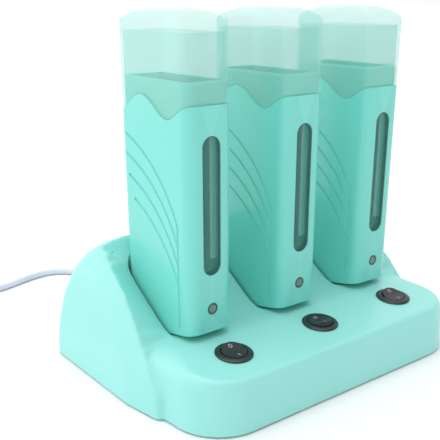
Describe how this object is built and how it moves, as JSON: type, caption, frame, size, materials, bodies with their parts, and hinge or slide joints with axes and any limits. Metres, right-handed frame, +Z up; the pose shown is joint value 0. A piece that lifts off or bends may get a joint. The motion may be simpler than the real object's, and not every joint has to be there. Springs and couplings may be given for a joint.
{
  "type": "roll-on wax heater",
  "caption": "Roll-on wax heater: a stepped base with round rocker switches and lift-out heater units, each with a window, a pilot lamp and a see-through lift-off cap, on a corded plug.",
  "frame": {"origin": "middle of the base's footprint, on the surface the rubber feet stand on", "axes": "+X along the row of heaters, -Y toward the user and the switches, +Z up"},
  "size_m": [0.3275, 0.3651, 0.224],
  "materials": {
    "base_mint": "smooth glossy moulding",
    "case_mint": "smooth glossy moulding",
    "cap_clear": "milky see-through moulding",
    "window_tint": "tinted clear moulding",
    "lamp_tint": "diffusing lens",
    "switch_black": "black, slightly glossy",
    "inner_black": "moulded, matt",
    "cord_white": "flexible, satin",
    "wire_brown": "wire insulation",
    "foot_rubber": "matt rubber",
    "screw_steel": "zinc plated",
    "contact_brass": "bare, turned",
    "pin_chrome": "nickel plated",
    "board_green": "solder mask",
    "aluminium_bare": "bare sheet",
    "heater_grey": "fired ceramic"
  },
  "bodies": {
    "base": {"base_shell": "base_mint", "base_plate": "base_mint", "rubber_feet": "foot_rubber", "base_screws": "screw_steel", "contact_pins": "contact_brass", "terminal_block": "cord_white", "cord_clamp": "cord_white", "wiring": "wire_brown", "strain_relief": "cord_white", "cord": "cord_white", "cord_coil": "cord_white", "cord_tail": "cord_white", "plug": "cord_white", "plug_pins": "pin_chrome", "switch_body_1": "switch_black", "contact_block_1": "inner_black", "switch_body_2": "switch_black", "contact_block_2": "inner_black", "switch_body_3": "switch_black", "contact_block_3": "inner_black"},
    "heater_unit_1": {"case_left_1": "case_mint", "case_right_1": "case_mint", "case_screws_1": "screw_steel", "window_1": "window_tint", "lamp_lens_1": "lamp_tint", "lamp_board_1": "board_green", "sleeve_1": "aluminium_bare", "heat_plate_1": "aluminium_bare", "heater_1": "heater_grey", "thermostat_1": "heater_grey", "socket_1": "inner_black"},
    "cap_1": {"cap_1": "cap_clear"},
    "rocker_1": {"rocker_1": "switch_black"},
    "heater_unit_2": {"case_left_2": "case_mint", "case_right_2": "case_mint", "case_screws_2": "screw_steel", "window_2": "window_tint", "lamp_lens_2": "lamp_tint", "lamp_board_2": "board_green", "sleeve_2": "aluminium_bare", "heat_plate_2": "aluminium_bare", "heater_2": "heater_grey", "thermostat_2": "heater_grey", "socket_2": "inner_black"},
    "cap_2": {"cap_2": "cap_clear"},
    "rocker_2": {"rocker_2": "switch_black"},
    "heater_unit_3": {"case_left_3": "case_mint", "case_right_3": "case_mint", "case_screws_3": "screw_steel", "window_3": "window_tint", "lamp_lens_3": "lamp_tint", "lamp_board_3": "board_green", "sleeve_3": "aluminium_bare", "heat_plate_3": "aluminium_bare", "heater_3": "heater_grey", "thermostat_3": "heater_grey", "socket_3": "inner_black"},
    "cap_3": {"cap_3": "cap_clear"},
    "rocker_3": {"rocker_3": "switch_black"}
  },
  "joints": [
    {"name": "heater_1_lift", "type": "slide", "parent": "base", "child": "heater_unit_1", "axis": [0, 0, 1], "range_m": [0, 0.07]},
    {"name": "cap_1_lift", "type": "slide", "parent": "heater_unit_1", "child": "cap_1", "axis": [0, 0, 1], "range_m": [0, 0.04]},
    {"name": "rocker_1_tip", "type": "hinge", "parent": "base", "child": "rocker_1", "pos_m": [-0.07, -0.05452, 0.03618], "axis": [1, 0, 0], "range_deg": [-20, 0]},
    {"name": "heater_2_lift", "type": "slide", "parent": "base", "child": "heater_unit_2", "axis": [0, 0, 1], "range_m": [0, 0.07]},
    {"name": "cap_2_lift", "type": "slide", "parent": "heater_unit_2", "child": "cap_2", "axis": [0, 0, 1], "range_m": [0, 0.04]},
    {"name": "rocker_2_tip", "type": "hinge", "parent": "base", "child": "rocker_2", "pos_m": [0, -0.05452, 0.03618], "axis": [1, 0, 0], "range_deg": [0, 20]},
    {"name": "heater_3_lift", "type": "slide", "parent": "base", "child": "heater_unit_3", "axis": [0, 0, 1], "range_m": [0, 0.07]},
    {"name": "cap_3_lift", "type": "slide", "parent": "heater_unit_3", "child": "cap_3", "axis": [0, 0, 1], "range_m": [0, 0.04]},
    {"name": "rocker_3_tip", "type": "hinge", "parent": "base", "child": "rocker_3", "pos_m": [0.07, -0.05452, 0.03618], "axis": [1, 0, 0], "range_deg": [-20, 0]}
  ]
}
